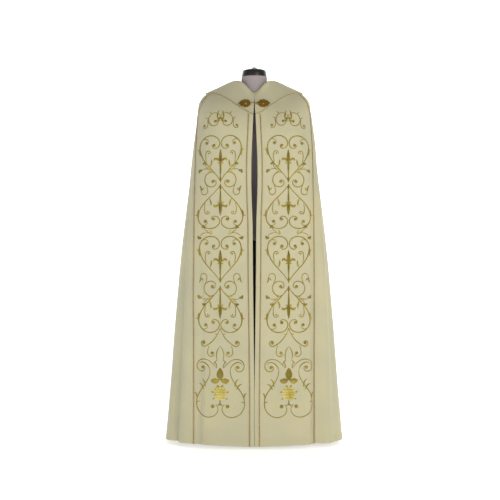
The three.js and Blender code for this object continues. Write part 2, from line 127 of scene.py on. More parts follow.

# %% [markdown]
# ## Small creases
# Real cloth also has shallow creases that are no part of the big folds. Each is a soft trough or ridge
# between two places on the cloth. They are listed one by one, all of different length and depth, because
# even ones look like a machine's work.

# %% Crease table
CREASES = {
    "left": [
        dict(start=(0.86, 1400), end=(0.97, 1250), width=9, depth=-3.0),
        dict(start=(0.97, 1420), end=(1.04, 1180), width=11, depth=3.2),
        dict(start=(0.90, 700), end=(0.80, 520), width=12, depth=-5.5),
        dict(start=(0.97, 690), end=(0.90, 430), width=14, depth=4.0),
        dict(start=(0.84, 520), end=(0.87, 40), width=15, depth=-5.0),
        dict(start=(0.55, 1270), end=(0.62, 900), width=22, depth=-1.6),
        dict(start=(0.2, 1230), end=(0.16, 700), width=24, depth=1.5),
        dict(start=(0.3, 600), end=(0.27, 60), width=26, depth=-2.0),
        dict(start=(1.02, 1420), end=(1.2, 1300), width=12, depth=-3.0),
        dict(start=(1.08, 1380), end=(1.13, 1050), width=18, depth=3.0),
        dict(start=(1.55, 1330), end=(1.6, 1150), width=16, depth=-3.0),
        dict(start=(1.72, 1300), end=(1.7, 1120), width=14, depth=2.6),
    ],
    "right": [
        dict(start=(0.84, 1415), end=(0.96, 1260), width=10, depth=-3.4),
        dict(start=(1.0, 1430), end=(1.09, 1180), width=14, depth=4.2),
        dict(start=(0.6, 1280), end=(0.55, 880), width=24, depth=-1.6),
        dict(start=(0.25, 1200), end=(0.3, 620), width=26, depth=1.4),
        dict(start=(0.7, 640), end=(0.74, 50), width=28, depth=-2.2),
        dict(start=(1.1, 900), end=(1.16, 60), width=24, depth=-3.2),
        dict(start=(1.05, 1400), end=(1.2, 1290), width=12, depth=-2.6),
        dict(start=(1.26, 1380), end=(1.3, 1140), width=18, depth=2.6),
        dict(start=(1.6, 1320), end=(1.55, 1130), width=15, depth=-2.8),
        dict(start=(1.78, 1310), end=(1.83, 1150), width=13, depth=2.4),
    ],
}
BAND_WIDTH, SIDE_LENGTH = 230, 900
HEM_BAND, HEM_STEP = 30, 0.9


def spread(at):
    """Place round the cloth as millimetres from the band's inner seam."""
    return np.where(at < 1, at * BAND_WIDTH, BAND_WIDTH + (at - 1) * SIDE_LENGTH)


def crease_height(side, at, z):
    here = np.stack([spread(at), z], -1)
    height = np.zeros_like(z)
    for crease in CREASES[side]:
        (at0, z0), (at1, z1) = crease["start"], crease["end"]
        a = np.array([float(spread(np.array(at0))), z0])
        way = np.array([float(spread(np.array(at1))), z1]) - a
        t = np.clip(((here - a) @ way) / (way @ way), 0, 1)
        off = np.linalg.norm(here - a - t[..., None] * way, axis=-1)
        taper = np.sin(np.pi * np.clip(0.08 + 0.84 * t, 0, 1))
        height += crease["depth"] * taper * np.exp(-((off / crease["width"]) ** 2))
    hem = 1 / (1 + np.exp(np.minimum((z - HEM_HEIGHT - HEM_BAND) / 1.2, 50)))
    return height + HEM_STEP * hem


print(sum(len(rows) for rows in CREASES.values()), "creases placed by hand")

# %% [markdown]
# ## The cloak's surface
# Numpy works out many points at once. A ring between two rows of the table comes from a Catmull-Rom
# curve, which passes through every row and leaves no kink. Folds then push points out along the
# ring's normal, so that a deep fold stays one even wall.

# %% Points of the cloak
def ring_at(v):
    v = np.clip(np.asarray(v, float), 0, LAST_RING)
    i = np.minimum(v.astype(int), LAST_RING - 1)
    t = (v - i)[..., None]
    p, q, r, s = (RINGS[np.clip(i + k, 0, LAST_RING)] for k in (-1, 0, 1, 2))
    row = q + 0.5 * t * (r - p + t * (2 * p - 5 * q + 4 * r - s + t * (3 * (q - r) + s - p)))
    return {name: row[..., k] for k, name in enumerate(COLUMNS)}


def on_ring(ring, share, at_back=False):
    power = BACK_POWER if at_back else ring["power"]
    share = np.clip(share, 0, 1)
    deep = np.clip(1 - share**power, 0, 1) ** (1 / power)
    climb = np.sin(share * np.pi / 2) ** (BACK_RISE if at_back else ring["rise"])
    low = ring["z_back"] if at_back else ring["z_front"]
    y = ring["back"] * deep if at_back else -ring["front"] * deep
    return np.stack([ring["half"] * share, y, low + (ring["z_side"] - low) * climb], -1)


def side_walk(ring, part, steps=400):
    """Points from the band's outer seam round to the centre back, part being the share of the way."""
    share = ring["seam"] / ring["half"]
    turn = np.linspace(2 / np.pi * np.arcsin(share ** (ring["power"] / 2)), 2, steps)
    sine = np.clip(np.sin(turn * np.pi / 2), 0, 1)
    front = on_ring(ring, sine ** (2 / ring["power"]))
    back = on_ring(ring, sine ** (2 / BACK_POWER), True)
    line = np.where((turn > 1)[:, None], back, front)
    length = np.concatenate([[0], np.cumsum(np.linalg.norm(np.diff(line[:, :2], axis=0), axis=1))])
    return np.stack([np.interp(part * length[-1], length, line[:, k]) for k in range(3)], -1)


def band_place(ring, at):
    inner = ring["gap"] + EDGE_WIDTH
    return np.where(at < 0, inner + at * EDGE_WIDTH, inner + at * (ring["seam"] - inner))


def fold_height(side, at, z):
    height = np.zeros(np.broadcast(at, z).shape)
    for fold in FOLDS[side] + FOLDS["both"]:
        grown = np.clip((fold["top"] - z) / (fold["top"] - HEM_HEIGHT), 0, 1)
        away = np.clip(np.abs(at - fold["at"] - fold["lean"] * grown) / fold["width"], 0, 1)
        height += fold["depth"] * grown**0.8 * np.cos(away * np.pi / 2) ** 2
    return height


def cloth_row(side, at, v):
    """One ring of one side of the cloak, at the places in at."""
    ring = ring_at(v)
    flat = lambda at: np.where(
        (at > 1)[:, None],
        side_walk(ring, np.clip(at - 1, 0, 1)),
        on_ring(ring, band_place(ring, at) / ring["half"]),
    )
    point = flat(at)
    along = flat(np.minimum(at + 0.002, 2)) - flat(np.maximum(at - 0.002, -1))
    length = np.maximum(np.hypot(along[:, 0], along[:, 1]), 1e-9)
    out = (fold_height(side, at, point[:, 2]) + crease_height(side, at, point[:, 2])) / length
    point[:, 0] += along[:, 1] * out
    point[:, 1] -= along[:, 0] * out
    return point * [SIDES[side], 1, 1]


def cloth_grid(side, at, rows):
    """Points and outward normals of the cloak, row by row from the neck down."""
    points = np.array([cloth_row(side, at, v) for v in rows])
    down = np.gradient(points, axis=0)
    across = np.gradient(points, axis=1)
    normals = np.cross(down, across) * SIDES[side]
    return points, normals / np.linalg.norm(normals, axis=-1, keepdims=True)


print("a point at the left shoulder:", cloth_row("left", np.array([1.0]), 4.0).round(1))

# %% [markdown]
# ## From points to a piece of cloth
# A sheet of cloth has two faces and a rim. A Solidify modifier could give it the second face, but it
# swells tight folds. Moving a copy of the grid along the normals keeps the wall even.

# %% Shell maker
def make_object(name, points, faces, uvs=None, tones=None):
    mesh = bpy.data.meshes.new(name)
    mesh.from_pydata((np.asarray(points) * MM).tolist(), [], faces)
    if tones is not None:
        mesh.attributes.new("tone", "FLOAT", "POINT").data.foreach_set("value", np.asarray(tones,
                                                                                           np.float32))
    if uvs is not None:
        layer = mesh.uv_layers.new(name="stitch")
        corners = np.zeros(len(mesh.loops), np.int32)
        mesh.loops.foreach_get("vertex_index", corners)
        layer.uv.foreach_set("vector", np.asarray(uvs, np.float32)[corners].ravel())
    mesh.shade_smooth()
    piece = bpy.data.objects.new(name, mesh)
    bpy.context.scene.collection.objects.link(piece)
    return piece


def shell_faces(rows, columns):
    """Quads of a closed wall: the outer grid's points come first, then the inner grid's."""
    number = np.arange(rows * columns).reshape(rows, columns)
    inner = number + rows * columns
    quads = lambda a, b, c, d: np.stack([a.ravel(), b.ravel(), c.ravel(), d.ravel()], 1)
    sheets = [
        quads(number[:-1, :-1], number[1:, :-1], number[1:, 1:], number[:-1, 1:]),
        quads(inner[:-1, :-1], inner[:-1, 1:], inner[1:, 1:], inner[1:, :-1]),
        quads(number[:-1, 0], inner[:-1, 0], inner[1:, 0], number[1:, 0]),
        quads(number[:-1, -1], number[1:, -1], inner[1:, -1], inner[:-1, -1]),
        quads(number[0, :-1], number[0, 1:], inner[0, 1:], inner[0, :-1]),
        quads(number[-1, :-1], inner[-1, :-1], inner[-1, 1:], number[-1, 1:]),
    ]
    return np.concatenate(sheets).tolist()


def make_shell(name, points, normals, high, low, flipped=False):
    """A wall whose outer face is moved out by high and whose inner face by low, in millimetres."""
    if flipped:
        points, normals = points[:, ::-1], normals[:, ::-1]
    rows, columns = points.shape[:2]
    outer, inner = points + normals * high, points + normals * low
    both = np.concatenate([outer.reshape(-1, 3), inner.reshape(-1, 3)])
    return make_object(name, both, shell_faces(rows, columns))


# %% [markdown]
# ## Cutting out the cloak
# Each front has a narrow strip along its edge, an embroidered band, and then the cloak's side, which
# runs to a seam at the centre back. Pieces stop half a seam short of each other. The draped pieces
# describe what is made here and are no proof of the cut. A true half circle of the same length would be
# somewhat fuller.

# %% Cloak pieces
BODY_ROWS = np.concatenate([np.linspace(0, 4, 60), np.linspace(4, LAST_RING, 190)[1:]])
GAP = SEAM / 2
CUTS = [
    dict(name="front_edge", ats=np.linspace(-1, -GAP / EDGE_WIDTH, 7), flat=(0.02, 1.5)),
    dict(name="front_panel", ats=np.linspace(GAP / BAND_WIDTH, 1 - GAP / BAND_WIDTH, 64), flat=(0.25,
                                                                                                1.5)),
    dict(name="cloak", ats=np.linspace(1 + GAP / SIDE_LENGTH, 2 - GAP / SIDE_LENGTH, 132), flat=(1.3,
                                                                                                 1.56)),
]
cloth_pieces = {}
for side in SIDES:
    for cut in CUTS:
        points, normals = cloth_grid(side, cut["ats"], BODY_ROWS)
        name = f"{cut['name']}_{side}"
        piece = make_shell(f"{name}_cloth", points, normals, 0, -CLOTH, side == "left")
        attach(piece, "root")
        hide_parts(name)
        cloth_pieces[name] = piece

# %% [markdown]
# ## The shoulder collar
# The collar lies on the cloak's first rings, so it is made from the same points, moved out. It is one
# piece that goes round the back of the neck from one front edge to the other.

# %% Collar
COLLAR_ROWS = np.linspace(0, COLLAR_RING, 64)
COLLAR_ATS = np.concatenate([np.linspace(-1, 1, 60), np.linspace(1, 2, 60)[1:]])
COLLAR_PUFF = 1.6  # how far the collar's middle stands off its edges


def collar_grid():
    right = cloth_grid("right", COLLAR_ATS, COLLAR_ROWS)
    left = cloth_grid("left", COLLAR_ATS, COLLAR_ROWS)
    return [np.concatenate([r, l[:, ::-1][:, 1:]], axis=1) for r, l in zip(right, left)]


collar_points, collar_normals = collar_grid()
down = np.linspace(0, 1, len(COLLAR_ROWS))[:, None, None]
puffed = collar_points + collar_normals * COLLAR_PUFF * np.sin(np.pi * np.clip(down * 1.02, 0, 1)) ** 0.5
collar = make_shell("collar_cloth", puffed, collar_normals, COLLAR_LIFT + COLLAR_CLOTH, COLLAR_LIFT)
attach(collar, "root")
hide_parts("collar")

# %% [markdown]
# ## Gold cord
# A twisted cord covers the seams. Two strands wound round each other give a section with two lobes,
# so a tube whose section has two lobes and turns as it goes looks like the real cord, at few faces.

# %% Cords
CORD_RADIUS = 1.7
CORD_LAY = 7.0  # one full turn of the strands
CORD_SECTION = 10
CORD_STEP = 2.2


def make_cord(name, line, normals, lift):
    step = np.linalg.norm(np.diff(line, axis=0), axis=1)
    length = np.concatenate([[0], np.cumsum(step)])
    s = np.linspace(0, length[-1], int(length[-1] / CORD_STEP))
    line, normals = [np.stack([np.interp(s, length, a[:, k]) for k in range(3)], -1) for a in (line,
                                                                                               normals)]
    ahead = np.gradient(line, axis=0)
    across = np.cross(ahead, normals)
    across /= np.linalg.norm(across, axis=1, keepdims=True)
    turn = np.linspace(0, 2 * np.pi, CORD_SECTION, endpoint=False)[None, :]
    twist = 2 * np.pi * s[:, None] / CORD_LAY
    radius = (CORD_RADIUS * (0.8 + 0.2 * np.cos(2 * (turn - twist))))[..., None]
    centre = line + normals * (lift + CORD_RADIUS)
    ring = across[:, None] * np.cos(turn)[..., None] + normals[:, None] * np.sin(turn)[..., None]
    points = centre[:, None] + radius * ring
    rows = len(s)
    number = np.arange(rows * CORD_SECTION).reshape(rows, CORD_SECTION)
    beside = np.roll(number, -1, axis=1)
    faces = np.stack([number[:-1], number[1:], beside[1:], beside[:-1]], -1).reshape(-1, 4).tolist()
    faces += [number[0].tolist(), number[-1, ::-1].tolist()]
    return make_object(name, points.reshape(-1, 3), faces)


CORD_ROWS = np.linspace(COLLAR_RING + 0.09, LAST_RING, 220)
CORD_PLACES = {"inner_cord": 0.008, "outer_cord": 0.992}
for side in SIDES:
    for place, at in CORD_PLACES.items():
        points, normals = cloth_grid(side, np.array([at - 0.006, at, at + 0.006]), CORD_ROWS)
        cord = make_cord(f"{place}_{side}_twist", points[:, 1], normals[:, 1], 0.1)
        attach(cord, "root")
        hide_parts(f"{place}_{side}")
collar_cord = make_cord(
    "collar_cord_twist", puffed[-2], collar_normals[-2], COLLAR_LIFT + COLLAR_CLOTH + 0.1
)
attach(collar_cord, "root")
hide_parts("collar_cord")
print("five cords, one turn of the strands every", CORD_LAY, "mm")

# %% [markdown]
# ## Drawing the scrollwork
# Church embroidery of this kind is built from scrolls, fleurs-de-lis, vine leaves and grapes. A scroll
# is a stem that winds round an eye, and its radius shrinks as it turns, much as in a snail's shell.
# Each row of a table places one stem or leaf, and the other half is its mirror.

# %% Scrolls and sweeps
SPIRAL_EASE = 1.35


def sweep(root, leaves, tip, arrives, pull=1.1, count=16):
    """A smooth curve from root, heading leaves degrees, to tip, arriving on arrives degrees."""
    a, b = np.array(root, float), np.array(tip, float)
    far = np.linalg.norm(b - a) * pull
    t = np.linspace(0, 1, count)[:, None]
    start, end = (far * np.array([math.cos(math.radians(d)), math.sin(math.radians(d))]) for d in (leaves,
                                                                                                   arrives))
    ends = (2 * t**3 - 3 * t**2 + 1) * a + (3 * t**2 - 2 * t**3) * b
    return ends + (t**3 - 2 * t**2 + t) * start + (t**3 - t**2) * end


def scroll(root, leaves, eye, reach, joins, turns, inner, pull=1.1):
    """A stem from root that winds round its eye, from reach out to inner. turns is anticlockwise."""
    t = np.linspace(0, 1, max(8, int(abs(turns) * 46)))
    radius = reach * (inner / reach) ** (t**SPIRAL_EASE)
    angle = np.radians(joins + 360 * turns * t)
    coil = np.array(eye) + np.stack([radius * np.cos(angle), radius * np.sin(angle)], 1)
    way = coil[1] - coil[0]
    length = np.linalg.norm(coil[0] - np.array(root))
    arrives = math.degrees(math.atan2(way[1], way[0]))
    stem = sweep(root, leaves, coil[0], arrives, pull, max(6, int(length / 3)))
    return np.concatenate([stem[:-1], coil])


# %% The motif tables, in millimetres from each motif's own origin
HEART_SCROLLS = [
    dict(root=(0, -2), leaves=62, eye=(27, 146), reach=60, joins=-17, turns=1.02, inner=6, thick=4.6,
         ball=6.5),
    dict(root=(86, 118), leaves=100, eye=(57, 156), reach=20, joins=52, turns=0.28, inner=8, thick=3.2,
         ball=6.5),
    dict(root=(58, 77), leaves=80, eye=(49, 114), reach=11, joins=5, turns=0.5, inner=7, thick=4.0,
         ball=3.2),
]
HEART_LEAVES = [
    dict(root=(42, 57), leaves=112, tip=(37, 88), arrives=75, wide=5.5, widest=0.6),
    dict(root=(86, 126), leaves=35, tip=(98, 130), arrives=0, wide=3.0, widest=0.2),
    dict(root=(84, 104), leaves=80, tip=(84, 146), arrives=106, wide=6.5, widest=0.5),
]
FLEUR_LEAVES = [
    dict(root=(0, 72), leaves=90, tip=(0, 130), arrives=90, wide=13, widest=0.32, tone=0.6),
    dict(root=(0, 12), leaves=90, tip=(0, 92), arrives=90, wide=7.5, widest=0.75, tone=0.7),
    dict(root=(0, -7), leaves=90, tip=(0, 24), arrives=90, wide=7, widest=0.45, tone=0.7),
    dict(root=(2, 74), leaves=78, tip=(25, 82), arrives=-104, wide=8.5, widest=0.55, pull=2.1, tone=0.45),
    dict(root=(2, 74), leaves=30, tip=(12, 71), arrives=-60, wide=3.5, widest=0.5, tone=0.45),
]
SPRAY_LEAVES = [
    dict(root=(36, 48), leaves=-5, tip=(80, 44), arrives=-38, wide=2.4, widest=0.3, pull=1.2),
    dict(root=(50, 51), leaves=30, tip=(64, 67), arrives=70, wide=2.4, widest=0.3),
    dict(root=(38, 50), leaves=60, tip=(52, 66), arrives=30, wide=5, widest=0.5, tone=0.8),
    dict(root=(36, 44), leaves=-30, tip=(50, 38), arrives=-10, wide=4.5, widest=0.5, tone=0.8),
]
SPRAY_TREFOILS = [dict(at=(65, 70), size=9, turn=5), dict(at=(83, 40), size=9.5, turn=-35)]
LOOP_SCROLLS = [
    dict(root=(0, -2), leaves=62, eye=(31, -3), reach=40, joins=70, turns=-0.98, inner=6, thick=4.0,
         ball=6.5),
    dict(root=(60, -10), leaves=-98, eye=(66, -44), reach=13, joins=190, turns=0.5, inner=12, thick=3.6,
         ball=0),
]
LOOP_LEAVES = [
    dict(root=(78, -46), leaves=88, tip=(86, -18), arrives=50, wide=5.5, widest=0.5),
    dict(root=(79, -40), leaves=130, tip=(68, -27), arrives=110, wide=4.0, widest=0.4),
]
TOP_SCROLLS = [
    dict(root=(-2, 28), leaves=50, eye=(21, 8), reach=37, joins=80, turns=-0.9, inner=6, thick=3.8,
         ball=6.0),
    dict(root=(54, 18), leaves=-92, eye=(67, -9), reach=13, joins=195, turns=0.36, inner=8, thick=3.6,
         ball=5.5),
]
TOP_LEAVES = [
    dict(root=(38, 41), leaves=60, tip=(48, 49), arrives=10, wide=3.0, widest=0.3),
    dict(root=(52, 20), leaves=40, tip=(64, 25), arrives=0, wide=3.0, widest=0.3),
    dict(root=(1, 8), leaves=40, tip=(7, 56), arrives=110, wide=5.0, widest=0.6, pull=1.4),
    dict(root=(0, 24), leaves=-60, tip=(9, 2), arrives=-100, wide=6, widest=0.5),
    dict(root=(0, 26), leaves=-20, tip=(14, 14), arrives=-60, wide=4, widest=0.5),
]
BUD_LEAVES = [
    dict(root=(34, 14), leaves=30, tip=(64, 20), arrives=-20, wide=2.4, widest=0.3),
    dict(root=(34, 14), leaves=80, tip=(44, 30), arrives=20, wide=6, widest=0.5, tone=0.8),
    dict(root=(60, 20), leaves=0, tip=(84, 6), arrives=-60, wide=2.4, widest=0.3),
    dict(root=(48, 22), leaves=60, tip=(66, 38), arrives=80, wide=2.4, widest=0.3),
]
BUD_TREFOILS = [dict(at=(68, 42), size=9, turn=10), dict(at=(86, 2), size=9.5, turn=-150)]
OGEE_SCROLLS = [
    dict(root=(0, 6), leaves=-72, eye=(67, -54), reach=15, joins=-125, turns=0.75, inner=6, thick=4.2,
         ball=6.5),
    dict(root=(44, -66), leaves=-50, eye=(32, -95), reach=20, joins=20, turns=-0.5, inner=9, thick=3.8,
         ball=6.5),
]
OGEE_LEAVES = [
    dict(root=(8, -20), leaves=10, tip=(21, -17), arrives=30, wide=3.0, widest=0.3),
    dict(root=(0, -67), leaves=-48, tip=(11, -126), arrives=-112, wide=3.4, widest=0.5, pull=1.1),
    dict(root=(11, -124), leaves=-20, tip=(24, -140), arrives=-90, wide=3.0, widest=0.5),
    dict(root=(22, -128), leaves=-120, tip=(14, -156), arrives=-70, wide=3.0, widest=0.5),
]
LYRE_SCROLLS = [
    dict(root=(14, -2), leaves=48, eye=(72, 0), reach=33, joins=95, turns=-0.95, inner=6, thick=4.0,
         ball=6.5),
    dict(root=(41, -12), leaves=-92, eye=(30, -156), reach=70, joins=10, turns=-0.62, inner=14, thick=4.4,
         ball=7.5),
]
LYRE_LEAVES = [
    dict(root=(90, 10), leaves=115, tip=(41, -14), arrives=-92, wide=3.8, widest=0.6, pull=1.5),
    dict(root=(60, -80), leaves=88, tip=(76, -46), arrives=20, wide=4.5, widest=0.4),
    dict(root=(66, -90), leaves=70, tip=(90, -66), arrives=0, wide=4.5, widest=0.4),
    dict(root=(97, -128), leaves=95, tip=(108, -104), arrives=-20, wide=5, widest=0.3),
    dict(root=(98, -142), leaves=150, tip=(84, -138), arrives=200, wide=3.0, widest=0.3),
    dict(root=(30, -84), leaves=-8, tip=(65, -128), arrives=-88, wide=1.6, widest=0.5, tone=1.0),
    dict(root=(65, -128), leaves=-88, tip=(42, -172), arrives=-150, wide=1.6, widest=0.5, tone=1.0),
]
VINE_LEAVES = [
    dict(root=(0, -50), leaves=90, tip=(0, -1), arrives=90, wide=27, widest=0.42, tone=0.75),
    dict(root=(2, -47), leaves=-38, tip=(37, -50), arrives=30, wide=21, widest=0.55, tone=0.45),
    dict(root=(4, -80), leaves=60, tip=(14, -72), arrives=-10, wide=4.5, widest=0.6),
    dict(root=(24, -104), leaves=20, tip=(36, -98), arrives=-40, wide=5, widest=0.5),
    dict(root=(22, -124), leaves=-20, tip=(31, -128), arrives=-60, wide=4, widest=0.5),
    dict(root=(0, -126), leaves=-90, tip=(0, -154), arrives=-90, wide=3.5, widest=0.5),
    dict(root=(0, -146), leaves=-20, tip=(8, -154), arrives=-90, wide=4, widest=0.5),
]
GRAPE_ROWS = [dict(z=-82, berries=3), dict(z=-92.5, berries=4), dict(z=-103, berries=5),
              dict(z=-113.5, berries=4), dict(z=-124, berries=3)]
GRAPE_PITCH, GRAPE_RADIUS = 12.2, 6.2
PLACES = [
    dict(scrolls=TOP_SCROLLS, leaves=TOP_LEAVES, z=1324),
    dict(scrolls=HEART_SCROLLS + LOOP_SCROLLS,
         leaves=HEART_LEAVES + FLEUR_LEAVES + SPRAY_LEAVES + LOOP_LEAVES,
         trefoils=SPRAY_TREFOILS, z=1085),
    dict(scrolls=HEART_SCROLLS, leaves=HEART_LEAVES + FLEUR_LEAVES, z=1067, stretch=(1.07, -0.95)),
    dict(leaves=BUD_LEAVES, trefoils=BUD_TREFOILS, z=852),
    dict(scrolls=HEART_SCROLLS, leaves=HEART_LEAVES + FLEUR_LEAVES, z=675, stretch=(1.0, 0.98)),
    dict(scrolls=HEART_SCROLLS + LOOP_SCROLLS,
         leaves=HEART_LEAVES + FLEUR_LEAVES + SPRAY_LEAVES + LOOP_LEAVES,
         trefoils=SPRAY_TREFOILS, z=651, stretch=(1.03, -0.98)),
    dict(scrolls=OGEE_SCROLLS, leaves=OGEE_LEAVES, z=480),
    dict(scrolls=LYRE_SCROLLS, leaves=LYRE_LEAVES + VINE_LEAVES, grapes=GRAPE_ROWS, z=327),
]
SCROLL_TONE, BALL_TONE, TREFOIL_TONE, GRAPE_TONE = 0.42, 0.38, 0.3, 0.9


# %% Lines of stitching from the tables
def ball(at, radius, tone):
    """A round dot is a short line of stitches whose width follows the circle."""
    x = -radius * np.cos(np.linspace(0, np.pi, 9))
    line = np.array(at) + np.stack([x, np.zeros_like(x)], 1)
    return line, 2 * np.sqrt(np.maximum(radius**2 - x**2, 0.02)), tone


def half_motif(scrolls=(), leaves=(), trefoils=()):
    """Each line of stitches as (points, widths, tone)."""
    lines = []
    for row in scrolls:
        row = dict(row)
        thick, dot = row.pop("thick"), row.pop("ball")
        line = scroll(**row)
        widths = thick * (0.62 + 0.38 * np.sin(np.pi * np.linspace(0, 1, len(line))))
        lines.append((line, widths, SCROLL_TONE))
        if dot:
            lines.append(ball(row["eye"], dot, BALL_TONE))
    for row in leaves:
        row = dict(row)
        wide, widest, tone = row.pop("wide"), row.pop("widest"), row.pop("tone", SCROLL_TONE)
        line = sweep(**row)
        t = np.linspace(0, 1, len(line))
        grow = np.sin(np.pi / 2 * np.clip(t / widest, 0, 1))
        shrink = np.cos(np.pi / 2 * np.clip((t - widest) / (1 - widest), 0, 1))
        lines.append((line, wide * np.clip(grow * shrink, 0, 1) ** 0.75 + 0.8, tone))
    for row in trefoils:
        for petal in (-85, 0, 85):
            turn = math.radians(90 + row["turn"] + petal)
            at = np.array(row["at"]) + row["size"] / 2 * np.array([math.cos(turn), math.sin(turn)])
            lines.append(ball(at, row["size"] * 0.48, TREFOIL_TONE))
    return lines


def whole_band():
    lines = []
    for row in PLACES:
        half = half_motif(row.get("scrolls", ()), row.get("leaves", ()), row.get("trefoils", ()))
        grapes = [
            ball(((k - (g["berries"] - 1) / 2) * GRAPE_PITCH, g["z"]), GRAPE_RADIUS, GRAPE_TONE)
            for g in row.get("grapes", ())
            for k in range(g["berries"])
        ]
        mirrored = [(line * [-1, 1], widths, tone) for line, widths, tone in half]
        stretch = row.get("stretch", (1, 1))
        for line, widths, tone in half + mirrored + grapes:
            lines.append((line * stretch + [0, row["z"]], widths, tone))
    return lines


band_lines = whole_band()
print(len(band_lines), "lines of stitching on each band")

# %% [markdown]
# ## Laying the stitches on the cloth
# Satin stitch stands up in the middle, because padding lies under it. So each line of stitches
# becomes a low domed strip. Its points are found on the cloak by their place across and their height,
# and then moved out along the cloth's normal, so that the embroidery follows every fold.

# %% Stitched strips
BAND_CENTRE = 139
STITCH_LIFT = 0.05
STITCH_SINK = -0.5
DOME = dict(share=0.26, most=1.5)
ACROSS = np.array([-0.5, -0.34, 0.0, 0.34, 0.5])
RISE = np.array([0.0, 0.72, 1.0, 0.72, 0.0])


def on_front(side, x, z):
    """Places on the cloth with a given place across and height, as points and normals."""
    low, high = np.full(x.shape, 0.0), np.full(x.shape, float(LAST_RING))
    for _ in range(30):
        v = (low + high) / 2
        ring = ring_at(v)
        above = on_ring(ring, x / ring["half"])[..., 2] > z
        low, high = np.where(above, v, low), np.where(above, high, v)

    def point(x, v):
        ring = ring_at(v)
        inner = ring["gap"] + EDGE_WIDTH
        at = (x - inner) / (ring["seam"] - inner)
        place = lambda x: on_ring(ring, x / ring["half"])
        here, along = place(x), place(x + 0.5) - place(x - 0.5)
        out = fold_height(side, at, here[..., 2]) + crease_height(side, at, here[..., 2])
        out = out / np.maximum(np.hypot(along[..., 0], along[..., 1]), 1e-9)
        here[..., 0] += along[..., 1] * out
        here[..., 1] -= along[..., 0] * out
        return here

    across = point(x + 0.5, v) - point(x - 0.5, v)
    down = point(x, np.minimum(v + 0.01, LAST_RING)) - point(x, np.maximum(v - 0.01, 0))
    normal = np.cross(down, across)
    normal /= np.linalg.norm(normal, axis=-1, keepdims=True)
    flip = np.array([SIDES[side], 1, 1])
    return point(x, v) * flip, normal * flip


def strip(line, widths):
    """A strip's cross-sections: places across the band, heights off the cloth, and the stitch map."""
    ahead = np.gradient(line, axis=0)
    ahead /= np.maximum(np.linalg.norm(ahead, axis=1, keepdims=True), 1e-9)
    beside = ahead[:, ::-1] * [-1, 1]
    flat = line[:, None] + beside[:, None] * (widths[:, None] * ACROSS)[..., None]
    dome = np.minimum(widths * DOME["share"], DOME["most"])
    high = STITCH_LIFT + dome[:, None] * RISE
    length = np.concatenate([[0], np.cumsum(np.linalg.norm(np.diff(line, axis=0), axis=1))])
    stitch = np.stack(np.broadcast_arrays(length[:, None], ACROSS * widths[:, None]), -1)
    flat = np.concatenate([flat, flat[:, [4, 0]]], axis=1)
    high = np.concatenate([high, np.full((len(line), 2), STITCH_SINK)], axis=1)
    return flat, high, np.concatenate([stitch, stitch[:, [4, 0]]], axis=1)


def embroidery(side):
    flats, highs, stitches, tones, faces, start = [], [], [], [], [], 0
    for line, widths, tone in band_lines:
        flat, high, stitch = strip(line, widths)
        rows, columns = high.shape
        number = start + np.arange(rows * columns).reshape(rows, columns)
        beside = np.roll(number, -1, axis=1)
        faces += np.stack([number[:-1], beside[:-1], beside[1:], number[1:]], -1).reshape(-1, 4).tolist()
        faces += [number[0, ::-1].tolist(), number[-1].tolist()]
        start += rows * columns
        flats.append(flat.reshape(-1, 2))
        highs.append(high.ravel())
        stitches.append(stitch.reshape(-1, 2))
        tones.append(np.full(rows * columns, tone))
    flat, high = np.concatenate(flats), np.concatenate(highs)
    points, normals = on_front(side, BAND_CENTRE + flat[:, 0], flat[:, 1])
    points = points + normals * high[:, None]
    if side == "left":
        faces = [face[::-1] for face in faces]
    name = f"embroidery_{side}"
    return make_object(name, points, faces, np.concatenate(stitches) * MM, np.concatenate(tones))


stitched = []
for side in SIDES:
    piece = embroidery(side)
    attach(piece, "root")
    stitched.append(piece)
    print(piece.name, "has", len(piece.data.polygons), "faces")

# %% [markdown]
# ## The dress form
# Only the neck and a little of the chest show. The covered body is lofted again with many more
# sides, so that its outline is smooth, and the lacquered cap is turned as on a lathe.

# %% Form body and neck cap
SECTIONS = np.array([  # height, half width, half depth, power
    (842, 150, 100, 2.3), (850, 158, 108, 2.3), (930, 166, 114, 2.3), (1060, 142, 98, 2.2),
    (1180, 160, 108, 2.3), (1270, 178, 112, 2.4), (1340, 192, 98, 2.4), (1385, 194, 84, 2.4),
    (1415, 180, 71, 2.3), (1438, 150, 61, 2.2), (1458, 110, 55, 2.1), (1474, 78, 52.5, 2.0),
    (1490, 60, 52, 2.0), (1506, 55, 52, 2.0), (1533, 53.5, 52, 2.0),
])
BACK_SHIFT, NECK_START = 8, 1458
FORM_SIDES, FORM_STEPS = 96, 8


def closed_rings(name, points):
    """A closed body from rings of points that go up, each the same count."""
    rows, columns = points.shape[:2]
    number = np.arange(rows * columns).reshape(rows, columns)
    beside = np.roll(number, -1, axis=1)
    faces = np.stack([number[:-1], beside[:-1], beside[1:], number[1:]], -1).reshape(-1, 4).tolist()
    return make_object(name, points.reshape(-1, 3), faces + [number[0, ::-1].tolist(),
                                                             number[-1].tolist()])


def form_rings():
    steps = np.linspace(0, len(SECTIONS) - 1, (len(SECTIONS) - 1) * FORM_STEPS + 1)
    rows = np.stack([np.interp(steps, range(len(SECTIONS)), SECTIONS[:, k]) for k in range(4)], -1)
    blur = np.array([1, 2, 3, 2, 1]) / 9
    rows[2:-2] = np.stack([np.convolve(rows[:, k], blur, "valid") for k in range(4)], -1)
    turn = np.linspace(0, 2 * np.pi, FORM_SIDES, endpoint=False)
    z, half, depth, power = (rows[:, k, None] for k in range(4))
    low = np.clip((NECK_START - z) / 120, 0, 1)
    shift = BACK_SHIFT * low * low * (3 - 2 * low)
    x = half * np.sign(np.cos(turn)) * np.abs(np.cos(turn)) ** (2 / power)
    y = shift + depth * np.sign(np.sin(turn)) * np.abs(np.sin(turn)) ** (2 / power)
    return np.stack([x, y, np.broadcast_to(z, x.shape)], -1)


form = closed_rings("form_body_cover", form_rings())
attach(form, "root")
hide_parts("form_body")

